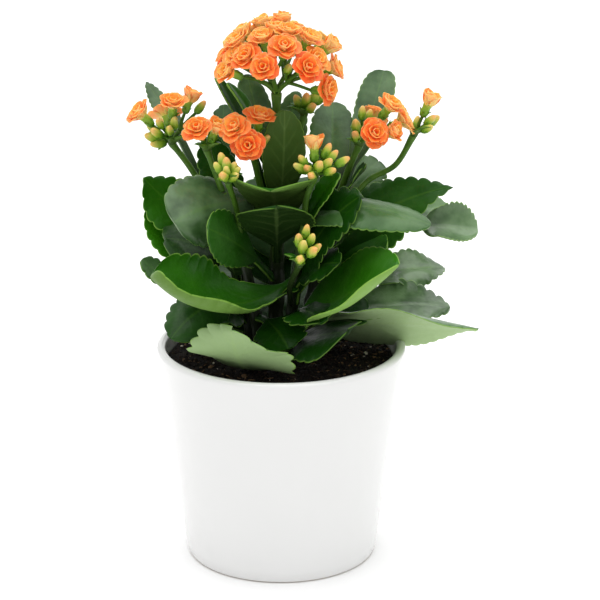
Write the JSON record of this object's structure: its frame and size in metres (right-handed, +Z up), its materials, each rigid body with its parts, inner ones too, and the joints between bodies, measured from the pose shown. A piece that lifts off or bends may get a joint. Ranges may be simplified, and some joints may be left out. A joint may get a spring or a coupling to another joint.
{
  "type": "potted kalanchoe",
  "caption": "Kalanchoe in a tapered round glazed pot of soil, with fleshy scalloped leaves on leafy shoots and sprays of double orange flowers and buds.",
  "frame": {"origin": "centre of the pot's flat foot, on the surface that it stands on", "axes": "+Z up along the pot's axis, -Y towards the front of the plant, +X to the right as seen from the front"},
  "size_m": [0.1808, 0.1357, 0.2875],
  "materials": {
    "white_glaze": "smooth glossy glaze",
    "potting_soil": "crumbly and matte",
    "leaf_green": "fleshy with a soft waxy sheen",
    "stem_green": "smooth and slightly waxy",
    "orange_petals": "soft satin petals"
  },
  "bodies": {
    "root": {"leaf_back_left_dark": "leaf_green", "leaf_back_left_small": "leaf_green", "leaf_back_left_tall": "leaf_green", "leaf_back_low_left": "leaf_green", "leaf_back_low_middle": "leaf_green", "leaf_back_low_right": "leaf_green", "leaf_back_middle": "leaf_green", "leaf_back_middle_left": "leaf_green", "leaf_back_right": "leaf_green", "leaf_back_right_tall": "leaf_green", "leaf_back_upper": "leaf_green", "leaf_centre_erect": "leaf_green", "leaf_centre_serrated": "leaf_green", "leaf_front_bract": "leaf_green", "leaf_front_centre": "leaf_green", "leaf_front_curl": "leaf_green", "leaf_front_dark": "leaf_green", "leaf_front_left_bowl": "leaf_green", "leaf_front_low": "leaf_green", "leaf_front_right_low": "leaf_green", "leaf_front_upper": "leaf_green", "leaf_left_edge": "leaf_green", "leaf_left_glossy": "leaf_green", "leaf_left_inner": "leaf_green", "leaf_left_low": "leaf_green", "leaf_left_mid": "leaf_green", "leaf_left_sliver": "leaf_green", "leaf_left_upper": "leaf_green", "leaf_right_arched": "leaf_green", "leaf_right_back_low": "leaf_green", "leaf_right_behind": "leaf_green", "leaf_right_far": "leaf_green", "leaf_right_front": "leaf_green", "leaf_right_inner": "leaf_green", "leaf_right_inner_dark": "leaf_green", "leaf_right_low": "leaf_green", "leaf_right_lowest": "leaf_green", "leaf_right_mid": "leaf_green", "leaf_right_small": "leaf_green", "leaf_right_upper": "leaf_green", "leaf_under_head_bright": "leaf_green", "leaf_under_head_dark": "leaf_green", "pot": "white_glaze", "shoot_front": "stem_green", "shoot_front_left": "stem_green", "shoot_left": "stem_green", "shoot_main": "stem_green", "shoot_right": "stem_green", "soil": "potting_soil", "spray_centre_buds": "orange_petals", "spray_left_back": "orange_petals", "spray_left_buds": "orange_petals", "spray_left_centre": "orange_petals", "spray_left_front": "orange_petals", "spray_low_buds": "orange_petals", "spray_right": "orange_petals", "spray_right_far": "orange_petals", "spray_top": "orange_petals", "spray_top_right_buds": "orange_petals"}
  },
  "joints": []
}
